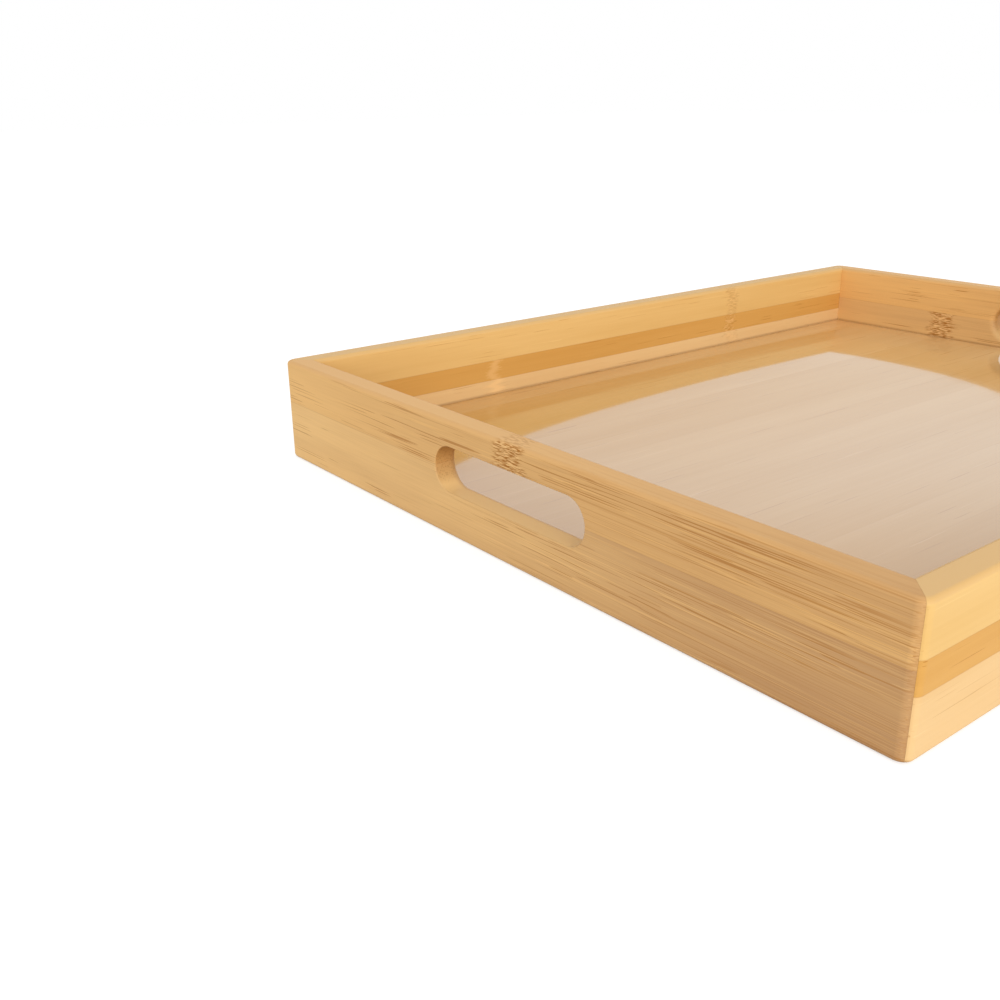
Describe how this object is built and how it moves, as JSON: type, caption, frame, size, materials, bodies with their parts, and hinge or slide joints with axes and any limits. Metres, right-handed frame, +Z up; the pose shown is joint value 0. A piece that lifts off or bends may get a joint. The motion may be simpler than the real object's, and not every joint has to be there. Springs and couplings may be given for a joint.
{
  "type": "serving tray",
  "caption": "Rectangular bamboo serving tray with low laminated walls, mitred corners, finger slots in the end walls and a glossy floor panel let into a groove.",
  "frame": {"origin": "on the table, under the middle of the tray", "axes": "+X along the tray towards the right end wall, +Y towards the back long wall, +Z up"},
  "size_m": [0.45, 0.35, 0.05],
  "materials": {
    "bamboo_straw": "satin lacquer over pale straw-coloured bamboo",
    "bamboo_amber": "satin lacquer over amber bamboo",
    "bamboo_pale": "satin lacquer over pale bamboo",
    "bamboo_honey": "satin lacquer over honey-coloured bamboo with dark fibres",
    "floor_lacquer": "high-gloss clear lacquer over golden bamboo veneer",
    "floor_ply": "bare sanded bamboo ply",
    "tongue_bamboo": "bare planed bamboo"
  },
  "bodies": {
    "root": {"front_wall_bottom_strip": "bamboo_pale", "front_wall_middle_strip": "bamboo_amber", "front_wall_top_strip": "bamboo_straw", "back_wall_bottom_strip": "bamboo_pale", "back_wall_middle_strip": "bamboo_amber", "back_wall_top_strip": "bamboo_straw", "left_wall_lower_strip": "bamboo_honey", "left_wall_upper_strip": "bamboo_honey", "right_wall_lower_strip": "bamboo_honey", "right_wall_upper_strip": "bamboo_honey", "floor_bottom_veneer": "floor_ply", "floor_core": "floor_ply", "floor_top_veneer": "floor_lacquer", "corner_tongue_front_left": "tongue_bamboo", "corner_tongue_back_left": "tongue_bamboo", "corner_tongue_front_right": "tongue_bamboo", "corner_tongue_back_right": "tongue_bamboo"}
  },
  "joints": []
}
